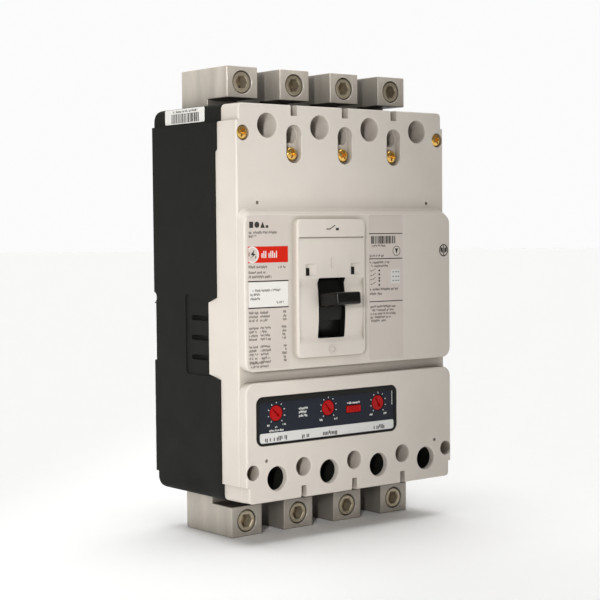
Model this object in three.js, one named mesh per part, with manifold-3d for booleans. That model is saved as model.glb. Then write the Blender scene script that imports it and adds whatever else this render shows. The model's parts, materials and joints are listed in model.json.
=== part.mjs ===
// Four-pole molded case circuit breaker with screw clamp lugs at both ends.
// Units are millimetres. The origin is the centre of the rear mounting face,
// +X runs across the poles, -Y is the front and +Z is the line end.
import * as THREE from 'three';
import { mergeVertices } from 'three/addons/utils/BufferGeometryUtils.js';
import Module from 'manifold-3d';

const wasm = await Module();
wasm.setup();

// ---------- driving dimensions ----------
const POLE_PITCH = 43.7;
const POLES = [-1.5, -0.5, 0.5, 1.5].map((step) => step * POLE_PITCH);
const BARRIERS = [-1, 0, 1].map((step) => step * POLE_PITCH);
const MECHANISM_X = POLES[1];
const GAP = 0.3;
const ROUND = 16;

const CASE_HALF_WIDTH = 91.7;
const CASE_HALF_HEIGHT = 128.6;
const END_STEP_Z = 117.2;
const END_INSET = 1.9;
const BASE_FLOOR_Y = -5;
const REAR_CORNER = { depth: 8.6, height: 11.6 };
const CHAMBER_HALF_WIDTH = 20.35;
const CHAMBER_Z = [-117.5, 118.5];
// The parting line between base and cover, as [y, z] from the line end down.
const SEAM = [
  [-77.5, 130], [-77.5, 117.2], [-75.5, 116.6], [-75.5, 99.5], [-73.6, 97.6], [-73.6, 3.5],
  [-64, 0.1], [-64, -46.6], [-77, -49.7], [-77, -130],
];

const COVER_Y = -96;
const PAD_Y = -103.1;
const WALL = 3;
const COVER_HALF_WIDTH = 91.0;
const PAD_HALF_WIDTH = 90.3;
const MIDDLE_PAD_Z = [-43.6, 59.4];
const LOWER_PAD_Z = [-CASE_HALF_HEIGHT, -50.3];
const PAD_CORNER = 7;

const MOUNT_TOP_Z = 109.2;
const MOUNT_BOTTOM_Z = -107.9;
const CHANNEL_RADIUS = 6.1;
const MOUNT_HOLE_RADIUS = 4.2;
const MOUNT_BOSS_RADIUS = 8.5;
const SLOT_SCREW_Z = 96.6;
const CORNER_SCREW_X = 85;
const CORNER_TOP_Z = 109.2;
const CORNER_BOTTOM_Z = -108;
const CORNER_HOLE_RADIUS = 4.85;
const SCREW_BOSS_RADIUS = 5.6;
const ACCESS_RADIUS = 7.9;
const ACCESS_TOP_Z = 114.5;
const ACCESS_BOTTOM_Z = -113.4;

const STRAP_Y = [-41, -36];
const TANG_Y = [-47, -41.3];
const LUG_HALF_WIDTH = 12.5;
const LUG_Y = [-69.5, -17];
const LUG_BLOCK = 20.6;
const LINE_LUG_END = 154.5;
const LOAD_LUG_END = 156.1;
const CABLE_RADIUS = 9;
const CABLE_Y = -31;
const CLAMP_RADIUS = 7;
const CLAMP_LENGTH = 24;

const ESCUTCHEON_Y = -107.5;
const ESCUTCHEON_HALF_WIDTH = 29.4;
const ESCUTCHEON_Z = [-36.5, 54];
const WINDOW_HALF_WIDTH = 11.45;
const WINDOW_Z = [-24.2, 15.4];

const HANDLE_PIVOT = { y: -50, z: -4.4 };
const HANDLE_REST = THREE.MathUtils.degToRad(5.3);
const BARRIER_RATIO = 0.7;
const HANDLE_TIP = 75.4;
const HANDLE_HALF_WIDTH = 10.4;
const CROSSBAR = { y: -24, z: -18, radius: 7.5, halfLength: 82 };
const CONTACT_REST = THREE.MathUtils.degToRad(7.35);
const LINK_ON_ARM = { y: -8, z: 18 };
const LOWER_LINK = 19;
const UPPER_LINK = 20;
const CRADLE_LINK = { y: -70, z: 0 };
const CRADLE_PIVOT = { y: -62, z: 24 };
const FRAME_INNER = 14.5;
const FRAME_OUTER = 16;

const TRIP_WINDOW_X = [-82.1, 38.6];
const TRIP_WINDOW_Z = [-91.5, -59.8];
const TRIP_BAR = { y: -58, z: -46, radius: 3 };
const DIAL_X = [-65.5, -21.9, 22];
const DIAL_Z = -71;
const DIAL_RADIUS = 5.15;
const BUTTON = { x: 0, z: -73.4, halfWidth: 6.1, halfHeight: 2.3 };

// ---------- finishes ----------
const finish = (color, roughness, metalness = 0) => new THREE.MeshStandardMaterial({ color, roughness, metalness });
const BEIGE = finish(0xdad2c8, 0.5);
const DARK = finish(0x2c2d27, 0.55);
const BLACK = finish(0x1e1e1a, 0.4);
const SLATE = finish(0x2d303a, 0.5);
const RED = finish(0xcd190f, 0.35);
const TIN = finish(0xa59b8c, 0.35, 1);
const BRASS = finish(0xc89632, 0.3, 1);
const COPPER = finish(0xb87850, 0.35, 1);
const STEEL = finish(0x8c8c88, 0.4, 1);
const FIBRE = finish(0xb4a078, 0.8);

// ---------- solids ----------
function solidOf(geometry) {
  geometry.deleteAttribute('normal');
  geometry.deleteAttribute('uv');
  const merged = mergeVertices(geometry);
  const vertProperties = Float32Array.from(merged.attributes.position.array);
  const triVerts = Uint32Array.from(merged.index.array);
  return new wasm.Manifold(new wasm.Mesh({ numProp: 3, vertProperties, triVerts }));
}

function around(centre, half) {
  return [centre - half, centre + half];
}

function box(...spans) {
  const geometry = new THREE.BoxGeometry(...spans.map(([low, high]) => high - low));
  geometry.translate(...spans.map(([low, high]) => (low + high) / 2));
  return solidOf(geometry);
}

// A cylinder along one axis; place holds its other two coordinates in X, Y, Z order.
function rod(axis, place, radius, [from, to], sides = ROUND) {
  const geometry = new THREE.CylinderGeometry(radius, radius, to - from, sides);
  geometry.translate(0, (from + to) / 2, 0);
  if (axis === 'x') {
    geometry.rotateZ(-Math.PI / 2);
    geometry.translate(0, ...place);
  } else if (axis === 'y') {
    geometry.translate(place[0], 0, place[1]);
  } else {
    geometry.rotateX(Math.PI / 2);
    geometry.translate(...place, 0);
  }
  return solidOf(geometry);
}

function polygon(points) {
  return new THREE.Shape(points.map(([a, b]) => new THREE.Vector2(a, b)));
}

function roundedRectangle([u0, u1], [v0, v1], radius) {
  const shape = new THREE.Shape();
  shape.absarc(u1 - radius, v0 + radius, radius, -Math.PI / 2, 0);
  shape.absarc(u1 - radius, v1 - radius, radius, 0, Math.PI / 2);
  shape.absarc(u0 + radius, v1 - radius, radius, Math.PI / 2, Math.PI);
  shape.absarc(u0 + radius, v0 + radius, radius, Math.PI, Math.PI * 1.5);
  return shape;
}

// A ring sector in the Y-Z plane, centred on the -Y direction.
function sector(inner, outer, halfAngle) {
  const shape = new THREE.Shape();
  shape.absarc(0, 0, outer, Math.PI - halfAngle, Math.PI + halfAngle);
  shape.absarc(0, 0, inner, Math.PI + halfAngle, Math.PI - halfAngle, true);
  return shape;
}

function extrude(shape, depth, curveSegments) {
  return new THREE.ExtrudeGeometry(shape, { depth, bevelEnabled: false, curveSegments });
}

// An X-Z outline extruded along Y.
function prismY(shape, [low, high], curveSegments = 5) {
  const geometry = extrude(shape, high - low, curveSegments);
  geometry.rotateX(Math.PI / 2);
  geometry.translate(0, high, 0);
  return solidOf(geometry);
}

// A Y-Z outline extruded along X.
function prismX(shape, [low, high], curveSegments = 4) {
  const geometry = extrude(shape, high - low, curveSegments);
  const alongX = new THREE.Matrix4().makeBasis(
    new THREE.Vector3(0, 1, 0),
    new THREE.Vector3(0, 0, 1),
    new THREE.Vector3(1, 0, 0),
  );
  geometry.applyMatrix4(alongX);
  geometry.translate(low, 0, 0);
  return solidOf(geometry);
}

const join = (solids) => solids.reduce((whole, piece) => whole.add(piece));
const cut = (solid, tools) => tools.reduce((whole, tool) => whole.subtract(tool), solid);

// ---------- the assembly ----------
const group = new THREE.Group();

function addPart(name, solid, material, { x = 0, y = 0, z = 0, tilt = 0 } = {}) {
  const { vertProperties, triVerts } = solid.getMesh();
  const geometry = new THREE.BufferGeometry();
  geometry.setAttribute('position', new THREE.BufferAttribute(vertProperties, 3));
  geometry.setIndex(new THREE.BufferAttribute(triVerts, 1));
  geometry.computeVertexNormals();
  const mesh = new THREE.Mesh(geometry, material);
  mesh.name = name;
  mesh.position.set(x, y, z);
  mesh.rotation.x = tilt;
  group.add(mesh);
}

// ---------- case ----------
function caseOutline(halfWidth, span) {
  const middle = roundedRectangle([-halfWidth, halfWidth], [-END_STEP_Z, END_STEP_Z], 1);
  const narrow = halfWidth - END_INSET;
  const full = roundedRectangle([-narrow, narrow], [-CASE_HALF_HEIGHT, CASE_HALF_HEIGHT], 3.5);
  return prismY(middle, span, 1).add(prismY(full, span, 2));
}

function basePrism() {
  const { depth, height } = REAR_CORNER;
  const bend = CASE_HALF_HEIGHT - height;
  const profile = new THREE.Shape();
  profile.moveTo(SEAM[0][0] + GAP / 2, SEAM[0][1]);
  SEAM.slice(1).forEach(([y, z]) => profile.lineTo(y + GAP / 2, z));
  profile.absellipse(-depth, -bend, depth, height, -Math.PI / 2, 0);
  profile.absellipse(-depth, bend, depth, height, 0, Math.PI / 2);
  return prismX(profile, [-CASE_HALF_WIDTH, CASE_HALF_WIDTH], 3);
}

// The bosses that carry the mounting channels and the cover screws, kept solid in both shells.
function bosses(span) {
  const rows = BARRIERS.flatMap((x) => [
    rod('y', [x, MOUNT_TOP_Z], MOUNT_BOSS_RADIUS, span, 12),
    rod('y', [x, MOUNT_BOTTOM_Z], MOUNT_BOSS_RADIUS, span, 12),
    rod('y', [x, SLOT_SCREW_Z], SCREW_BOSS_RADIUS, span, 8),
  ]);
  const corners = [-CORNER_SCREW_X, CORNER_SCREW_X].flatMap((x) => [
    rod('y', [x, CORNER_TOP_Z], SCREW_BOSS_RADIUS, span, 8),
    rod('y', [x, CORNER_BOTTOM_Z], SCREW_BOSS_RADIUS, span, 8),
  ]);
  return join([...rows, ...corners]);
}

function screwPlaces() {
  const corners = [-CORNER_SCREW_X, CORNER_SCREW_X];
  return [
    ...corners.map((x) => ({ x, z: CORNER_TOP_Z, seat: -92 })),
    ...BARRIERS.map((x) => ({ x, z: SLOT_SCREW_Z, seat: -91 })),
    ...corners.map((x) => ({ x, z: CORNER_BOTTOM_Z, seat: -88 })),
  ];
}

function accessHoles(from, to) {
  return POLES.flatMap((x) => [
    rod('y', [x, ACCESS_TOP_Z], ACCESS_RADIUS, [from, to]),
    rod('y', [x, ACCESS_BOTTOM_Z], ACCESS_RADIUS, [from, to]),
  ]);
}

// Grooves in the end walls that take phase barriers.
function barrierGrooves() {
  return BARRIERS.flatMap((x) => [
    box(around(x, 2.5), [-120, -6], [121.2, 135]),
    box(around(x, 2.3), [-120, -6], [-135, -120.5]),
  ]);
}

function base() {
  const chambers = POLES.map((x) => box(around(x, CHAMBER_HALF_WIDTH), [-90, BASE_FLOOR_Y], CHAMBER_Z));
  const supports = POLES.flatMap((x) => [
    box(around(x, 11.5), [STRAP_Y[1] + GAP, BASE_FLOOR_Y + 1], [98, CHAMBER_Z[1] + 1]),
    box(around(x, 11.5), [STRAP_Y[1] + GAP, BASE_FLOOR_Y + 1], [CHAMBER_Z[0] - 1, -98]),
    box(around(x, 9), [STRAP_Y[1] + GAP, BASE_FLOOR_Y + 1], [50, 55]),
    box(around(x, 9), [STRAP_Y[1] + GAP, BASE_FLOOR_Y + 1], [-45, -40]),
  ]);
  const hollow = join(chambers).subtract(bosses([-100, 0])).subtract(join(supports));
  const crossbarBay = box([-84, 84], [-90, -15.5], [-26.5, -9.5]);
  const tripBay = box([-85.9, 85.9], [-90, -44], [-97, -41]);
  const tangOpenings = POLES.flatMap((x) => [
    box(around(x, LUG_HALF_WIDTH + 0.5), [-47.6, -16.5], [117, 135]),
    box(around(x, LUG_HALF_WIDTH + 0.5), [-47.6, -16.5], [-135, -116]),
  ]);
  const mountHoles = BARRIERS.flatMap((x) => [
    rod('y', [x, MOUNT_TOP_Z], MOUNT_HOLE_RADIUS, [-90, 1], 12),
    rod('y', [x, MOUNT_BOTTOM_Z], MOUNT_HOLE_RADIUS, [-90, 1], 12),
  ]);
  const screwHoles = screwPlaces().map(({ x, z }) => rod('y', [x, z], 2.6, [-90, -56], 8));
  const sides = [-1, 1].flatMap((side) => {
    const across = (inner, outer) => [side * inner, side * outer].sort((a, b) => a - b);
    const vents = [-10.3, -23.3, -36.3].map((z) => box(across(88.4, 93), [-66, -44], around(z, 1.65)));
    return [
      ...vents,
      box(across(CASE_HALF_WIDTH - 0.8, 93), [-66, -40], [-48, 4.5]),
      rod('x', [0, 1.8], 3.9, across(84, 93), 16),
      box(across(84, 93), [-3.1, 1], [-41, -2.1]),
    ];
  });
  return cut(basePrism().intersect(caseOutline(CASE_HALF_WIDTH, [-90, 1])), [
    hollow, crossbarBay, tripBay, ...tangOpenings, ...mountHoles, ...screwHoles, ...sides,
    ...accessHoles(-90, TANG_Y[0] - 1), ...barrierGrooves(),
  ]);
}

function coverPrism() {
  const seam = SEAM.map(([y, z]) => [y - GAP / 2, z]);
  const profile = polygon([...seam, [COVER_Y, -130], [COVER_Y, 130]]);
  return prismX(profile, [-COVER_HALF_WIDTH, COVER_HALF_WIDTH]);
}

function frontCover() {
  const pads = [MIDDLE_PAD_Z, LOWER_PAD_Z].map((z) => (
    prismY(roundedRectangle([-PAD_HALF_WIDTH, PAD_HALF_WIDTH], z, PAD_CORNER), [PAD_Y, COVER_Y + 1], 2)
  ));
  const escutcheonX = around(MECHANISM_X, ESCUTCHEON_HALF_WIDTH);
  const escutcheon = prismY(roundedRectangle(escutcheonX, ESCUTCHEON_Z, 4), [ESCUTCHEON_Y, PAD_Y + 1], 2);
  const skin = coverPrism().intersect(caseOutline(COVER_HALF_WIDTH, [-110, 0]));
  const outside = join([skin, ...pads, escutcheon]);

  const inner = COVER_Y + WALL;
  const padInner = PAD_Y + WALL;
  const chambers = POLES.flatMap((x) => [
    box(around(x, CHAMBER_HALF_WIDTH), [inner, -55], CHAMBER_Z),
    box(around(x, CHAMBER_HALF_WIDTH), [padInner, inner + 1], [MIDDLE_PAD_Z[0] + WALL, MIDDLE_PAD_Z[1] - WALL]),
  ]);
  const slotBlocks = BARRIERS.map((x) => box(around(x, MOUNT_BOSS_RADIUS), [-110, -50], [SLOT_SCREW_Z, MOUNT_TOP_Z]));
  const hollow = join(chambers).subtract(bosses([-110, -50])).subtract(join(slotBlocks));
  const tripBays = [
    box([-85.9, 85.9], [inner, -55], [-97, -41]),
    box([-85.9, 85.9], [padInner, inner + 1], [-97, LOWER_PAD_Z[1] - WALL]),
  ];
  const handleBay = box(
    around(MECHANISM_X, ESCUTCHEON_HALF_WIDTH - WALL - 0.3),
    [ESCUTCHEON_Y + WALL + 0.2, padInner + 1],
    [ESCUTCHEON_Z[0] + WALL + 0.2, ESCUTCHEON_Z[1] - WALL - 0.2],
  );
  const windows = [
    box(around(MECHANISM_X, WINDOW_HALF_WIDTH), [-115, padInner], WINDOW_Z),
    prismY(roundedRectangle(TRIP_WINDOW_X, TRIP_WINDOW_Z, 5), [-115, padInner + 1], 2),
  ];
  const channels = BARRIERS.flatMap((x) => [
    prismY(roundedRectangle(around(x, 6), [SLOT_SCREW_Z - 6, MOUNT_TOP_Z + 6], 5.99), [-100, -91], 2),
    rod('y', [x, MOUNT_TOP_Z], CHANNEL_RADIUS - 0.2, [-100, -50]),
    rod('y', [x, MOUNT_BOTTOM_Z], CHANNEL_RADIUS, [-110, -50]),
  ]);
  const screwHoles = screwPlaces().flatMap(({ x, z, seat }) => [
    rod('y', [x, z], 2.6, [-110, -50], 8),
    rod('y', [x, z], CORNER_HOLE_RADIUS, [-110, seat], 12),
  ]);
  return cut(outside, [
    hollow, ...tripBays, handleBay, ...windows, ...channels, ...screwHoles,
    ...accessHoles(-115, -50), ...barrierGrooves(),
  ]);
}

function coverScrew(seat) {
  const head = rod('y', [0, 0], 4.5, [seat - 3 - GAP, seat - GAP], 12);
  const shank = rod('y', [0, 0], 2.2, [seat - 1, -60], 8);
  const slot = box([-0.6, 0.6], [seat - 5, seat - 2], [-6, 6]);
  return head.add(shank).subtract(slot);
}

// ---------- power path ----------
function lineTerminal() {
  const strap = box([-9, 9], STRAP_Y, [46, 100]);
  const pad = box([-11, 11], STRAP_Y, [99, 120.6]);
  const contact = box([-5, 5], [-44, STRAP_Y[0] + 1], [46, 56]);
  const hole = rod('y', [0, ACCESS_TOP_Z], 3.3, [-50, -30], 12);
  return join([strap, pad, contact]).subtract(hole);
}

function loadConductor() {
  const strap = box([-9, 9], STRAP_Y, [-100, -30]);
  const pad = box([-11, 11], STRAP_Y, [-120.6, -99]);
  const braidSeat = box([-7, 7], [-44, STRAP_Y[0] + 1], [-36, -30]);
  const hole = rod('y', [0, ACCESS_BOTTOM_Z], 3.3, [-50, -30], 12);
  return join([strap, pad, braidSeat]).subtract(hole);
}

// A lug seen from the side, with its outer face at `end` and its tang inside the case.
function lug(end, tangHole, side) {
  const [front, rear] = LUG_Y;
  const inner = end - LUG_BLOCK;
  const points = [
    [rear, end], [front, end], [front, inner], [TANG_Y[0], inner],
    [TANG_Y[0], 103], [TANG_Y[1], 103], [TANG_Y[1], 121], [rear, 121],
  ];
  const body = prismX(polygon(points.map(([y, z]) => [y, z * side])), [-LUG_HALF_WIDTH, LUG_HALF_WIDTH]);
  const along = (from, to) => [from * side, to * side].sort((a, b) => a - b);
  const cable = rod('z', [0, CABLE_Y], CABLE_RADIUS, along(118, end + 2));
  const thread = rod('y', [0, clampZ(end) * side], CLAMP_RADIUS + GAP, [front - 2, CABLE_Y], 20);
  return cut(body, [cable, thread, rod('y', [0, tangHole], 3.3, [-50, -30], 12)]);
}

function clampZ(end) {
  return end - LUG_BLOCK / 2;
}

function clampScrew() {
  const front = LUG_Y[0] + 0.4;
  const body = rod('y', [0, 0], CLAMP_RADIUS, [front, front + CLAMP_LENGTH], 20);
  const socket = rod('y', [0, 0], 4.6, [front - 1, front + 8], 6);
  return body.subtract(socket);
}

function arcChute() {
  const z = [57, 84];
  const walls = [-1, 1].map((side) => box(around(side * 15.9, 0.6), [-90, -47], z));
  const plates = [...Array(7).keys()].map((step) => {
    const y = -51 - step * 5.8;
    return box([-15.6, 15.6], around(y, 0.9), [z[0] + 1, z[1] - 1]).subtract(box([-5.5, 5.5], around(y, 2), [50, 71]));
  });
  return join([...walls, ...plates]);
}

// ---------- contact arms and crossbar, about the crossbar axis with the contacts closed ----------
function movingContact() {
  const arm = polygon([
    [4, 0.3], [4, 8], [-22.3, 48], [-22.3, 76], [-29.3, 76], [-29.3, 44], [-5, 4], [-5, 0.3],
  ]);
  const button = box([-3.5, 3.5], [-23, -20.3], [65, 73]);
  const pinHole = rod('x', [LINK_ON_ARM.y, LINK_ON_ARM.z], 2, [-5, 5], 12);
  return prismX(arm, [-4, 4]).add(button).subtract(pinHole);
}

function crossbar() {
  const bar = rod('x', [0, 0], CROSSBAR.radius, [-CROSSBAR.halfLength, CROSSBAR.halfLength]);
  return cut(bar, POLES.map((x) => box(around(x, 4.4), [-9, 9], [0, 9])));
}

// ---------- operating mechanism, about x = 0 of its own pole ----------
function bar([y0, z0], [y1, z1], halfWidth, span) {
  const along = new THREE.Vector2(y1 - y0, z1 - z0).normalize();
  const [offY, offZ] = [-along.y * halfWidth, along.x * halfWidth];
  const flat = polygon([[y0 + offY, z0 + offZ], [y0 - offY, z0 - offZ], [y1 - offY, z1 - offZ], [y1 + offY, z1 + offZ]]);
  return join([prismX(flat, span), rod('x', [y0, z0], halfWidth, span, 8), rod('x', [y1, z1], halfWidth, span, 8)]);
}

function mirrored(inner, outer, make) {
  return join([make([-outer, -inner]), make([inner, outer])]);
}

function mechanismFrame() {
  const plates = mirrored(FRAME_INNER, FRAME_OUTER, (span) => box(span, [-78, -34], [-40, 30]));
  const ties = [[-46, -44], [-74, -72]].map((y) => box([-FRAME_INNER - 1, FRAME_INNER + 1], y, [-40, -34]));
  const pivots = mirrored(FRAME_INNER + 1, 19.4, (span) => rod('x', [HANDLE_PIVOT.y, HANDLE_PIVOT.z], 2.2, span, 12));
  const cradleHoles = rod('x', [CRADLE_PIVOT.y, CRADLE_PIVOT.z], 2.6, [-20, 20], 12);
  return join([plates, ...ties, pivots]).subtract(cradleHoles);
}

function cradle() {
  const latch = [-62, -31];
  const plates = mirrored(8.7, 10.2, (span) => join([
    bar([CRADLE_PIVOT.y, CRADLE_PIVOT.z], [CRADLE_LINK.y, CRADLE_LINK.z], 4, span),
    bar([CRADLE_LINK.y, CRADLE_LINK.z], latch, 4, span),
  ]));
  const tie = rod('x', latch, 2, [-9, 9], 12);
  const stubs = mirrored(9.5, 15.8, (span) => rod('x', [CRADLE_PIVOT.y, CRADLE_PIVOT.z], 2.2, span, 12));
  const linkHole = rod('x', [CRADLE_LINK.y, CRADLE_LINK.z], 2.2, [-12, 12], 12);
  return join([plates, tie, stubs]).subtract(linkHole);
}

// The upper link points along +Y from its pin; its far end is an open fork round the knee pin.
function upperLink() {
  const fork = mirrored(6.6, 8.2, (span) => join([
    box(span, [-3, UPPER_LINK - 7], [-3.5, 3.5]),
    box(span, [UPPER_LINK - 9, UPPER_LINK + 4], [-7, 7]),
  ])).subtract(box([-9, 9], [UPPER_LINK - 5, UPPER_LINK + 6], [-4.4, 4.4]));
  return fork.add(rod('x', [0, 0], 1.8, [-10.2, 10.2], 12));
}

// The lower link points along +Y from its pin in the contact arm to the knee.
function lowerLink() {
  const plates = mirrored(4.6, 6.2, (span) => bar([0, 0], [LOWER_LINK, 0], 3.2, span));
  const armPin = rod('x', [0, 0], 1.6, [-5, 5], 12);
  const kneePins = mirrored(5.5, 8.2, (span) => rod('x', [LOWER_LINK, 0], 1.5, span, 12));
  return join([plates, armPin, kneePins]);
}

function toggleHandle() {
  const stub = polygon([[-54, -4.7], [-54, 4.7], [-HANDLE_TIP, 3.9], [-HANDLE_TIP, -3.9]]);
  const skirt = sector(53, 55.2, THREE.MathUtils.degToRad(14.2));
  const stem = box([-8.5, 8.5], [-53.8, -45.8], [-2.5, 2.5]);
  return join([prismX(stub, around(0, HANDLE_HALF_WIDTH)), prismX(skirt, around(0, 10.8)), stem]);
}

function handleYoke() {
  const bridge = box([-18.2, 18.2], [-45.5, -43], [-7, 7]);
  const legs = mirrored(16.4, 18.2, (span) => join([
    box(span, [-44, 0], [-5, 5]),
    rod('x', [0, 0], 6, span, 16),
  ]));
  return join([bridge, legs]).subtract(rod('x', [0, 0], 2.6, [-20, 20], 12));
}

function handleBarrier() {
  const shield = prismX(sector(49.8, 51.4, THREE.MathUtils.degToRad(31)), [-13.5, 13.5]);
  return shield.subtract(box([-9.1, 9.1], [-60, -45], [-6.7, 6.7]));
}

class Helix extends THREE.Curve {
  constructor(radius, turns, from, to) {
    super();
    Object.assign(this, { radius, turns, from, to });
  }

  getPoint(t, target = new THREE.Vector3()) {
    const angle = t * this.turns * Math.PI * 2;
    const along = this.from + (this.to - this.from) * t;
    return target.set(this.radius * Math.cos(angle), along, this.radius * Math.sin(angle));
  }
}

function mainSpring() {
  const turns = 6;
  const wire = new THREE.Shape().absarc(0, 0, 0.35, 0, Math.PI * 2);
  const extrudePath = new Helix(1.4, turns, -42.5, -14);
  const geometry = new THREE.ExtrudeGeometry(wire, { steps: turns * 6, extrudePath, bevelEnabled: false, curveSegments: 2 });
  return solidOf(geometry);
}

// ---------- trip unit ----------
function tripUnitHousing() {
  const body = box([-85, 85], [-86, -44.6], [-95.5, -53.5]);
  const ribs = BARRIERS.map((x) => box(around(x, 1.6), [-90, -80], [-98, -50]));
  const shaftHoles = DIAL_X.map((x) => rod('y', [x, DIAL_Z], 2.4, [-90, -76], 12));
  return cut(body, [...ribs, ...shaftHoles]);
}

function tripUnitFaceplate() {
  const inset = (span, by) => [span[0] + by, span[1] - by];
  const plate = prismY(roundedRectangle(inset(TRIP_WINDOW_X, 0.5), inset(TRIP_WINDOW_Z, 0.5), 4.5), [-102.6, -99.8], 2);
  const posts = [-76, 32].map((x) => rod('y', [x, -66], 2.5, [-100, -86 - GAP], 12));
  const dialHoles = DIAL_X.map((x) => rod('y', [x, DIAL_Z], DIAL_RADIUS + 0.35, [-110, -90]));
  const { x, z, halfWidth, halfHeight } = BUTTON;
  const buttonHole = box(around(x, halfWidth + 0.35), [-110, -90], around(z, halfHeight + 0.35));
  return cut(join([plate, ...posts]), [...dialHoles, buttonHole]);
}

function tripDial() {
  const disc = rod('y', [0, 0], DIAL_RADIUS, [-102.4, -99]);
  const shaft = rod('y', [0, 0], 2, [-100, -78], 12);
  const slot = box([-0.6, 0.6], [-104, -101.2], [-3.6, 3.6]);
  return disc.add(shaft).subtract(slot);
}

function tripButton() {
  const cap = box(around(0, BUTTON.halfWidth), [-103, -98.5], around(0, BUTTON.halfHeight));
  return cap.add(rod('y', [0, 0], 1.5, [-99, -93], 12));
}

function tripBar() {
  const { y, z, radius } = TRIP_BAR;
  const shaft = rod('x', [y, z], radius, [-80, 80], 12);
  const reach = box(around(BUTTON.x, 2), [-92.6, y], [z - 3, z - 0.5]);
  const pad = box(around(BUTTON.x, 2), [-92.6, -90.4], [-78, z - 0.5]);
  const latch = box(around(MECHANISM_X, 3), [y - 2, y + 1], [z, -36]);
  return join([shaft, reach, pad, latch]);
}

// ---------- assembly of the fixed parts ----------
addPart('base', base(), DARK);
addPart('front_cover', frontCover(), BEIGE);
screwPlaces().forEach(({ x, z, seat }, index) => {
  addPart(`cover_screw_${index + 1}`, coverScrew(seat), BRASS, { x, z });
});
POLES.forEach((x, index) => {
  const pole = index + 1;
  addPart(`line_terminal_${pole}`, lineTerminal(), COPPER, { x });
  addPart(`load_conductor_${pole}`, loadConductor(), COPPER, { x });
  addPart(`arc_chute_${pole}`, arcChute(), FIBRE, { x });
  addPart(`line_lug_${pole}`, lug(LINE_LUG_END, ACCESS_TOP_Z, 1), TIN, { x });
  addPart(`load_lug_${pole}`, lug(LOAD_LUG_END, ACCESS_BOTTOM_Z, -1), TIN, { x });
  addPart(`line_clamp_screw_${pole}`, clampScrew(), TIN, { x, z: clampZ(LINE_LUG_END) });
  addPart(`load_clamp_screw_${pole}`, clampScrew(), TIN, { x, z: -clampZ(LOAD_LUG_END) });
});
addPart('trip_unit_housing', tripUnitHousing(), BLACK);
addPart('trip_unit_faceplate', tripUnitFaceplate(), SLATE);
addPart('mechanism_frame', mechanismFrame(), STEEL, { x: MECHANISM_X });

// ---------- assembly of the moving parts ----------
const handlePlace = { x: MECHANISM_X, ...HANDLE_PIVOT, tilt: -HANDLE_REST };
addPart('toggle_handle', toggleHandle(), BLACK, handlePlace);
addPart('handle_yoke', handleYoke(), STEEL, handlePlace);
[-1, 1].forEach((side, index) => {
  addPart(`main_spring_${index + 1}`, mainSpring(), STEEL, { ...handlePlace, x: MECHANISM_X + side * 12.4 });
});
addPart('handle_barrier', handleBarrier(), BLACK, { ...handlePlace, tilt: -HANDLE_REST * BARRIER_RATIO });

const contactPlace = { y: CROSSBAR.y, z: CROSSBAR.z, tilt: CONTACT_REST };
addPart('crossbar', crossbar(), BLACK, contactPlace);
POLES.forEach((x, index) => {
  addPart(`moving_contact_${index + 1}`, movingContact(), COPPER, { ...contactPlace, x });
});

// The knee sits where the two links, each on its own pin, meet above the line between the pins.
const armPin = new THREE.Vector2(LINK_ON_ARM.y, LINK_ON_ARM.z)
  .rotateAround(new THREE.Vector2(), CONTACT_REST)
  .add(new THREE.Vector2(CROSSBAR.y, CROSSBAR.z));
const cradlePin = new THREE.Vector2(CRADLE_LINK.y, CRADLE_LINK.z);
const reachVector = armPin.clone().sub(cradlePin);
const reach = reachVector.length();
const kneeCosine = (UPPER_LINK ** 2 + reach ** 2 - LOWER_LINK ** 2) / (2 * UPPER_LINK * reach);
const upperAngle = reachVector.angle() - Math.PI * 2 + Math.acos(kneeCosine);
const knee = new THREE.Vector2(UPPER_LINK, 0).rotateAround(new THREE.Vector2(), upperAngle).add(cradlePin);
const lowerAngle = knee.clone().sub(armPin).angle();
addPart('cradle', cradle(), STEEL, { x: MECHANISM_X });
addPart('upper_link', upperLink(), STEEL, { x: MECHANISM_X, ...CRADLE_LINK, tilt: upperAngle });
addPart('lower_link', lowerLink(), STEEL, { x: MECHANISM_X, y: armPin.x, z: armPin.y, tilt: lowerAngle });

DIAL_X.forEach((x, index) => {
  addPart(`trip_dial_${index + 1}`, tripDial(), RED, { x, z: DIAL_Z });
});
addPart('trip_button', tripButton(), RED, { x: BUTTON.x, z: BUTTON.z });
addPart('trip_bar', tripBar(), STEEL);

export default group;
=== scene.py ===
import json
import math
import random

import bmesh
import bpy
from mathutils import Matrix, Vector


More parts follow.
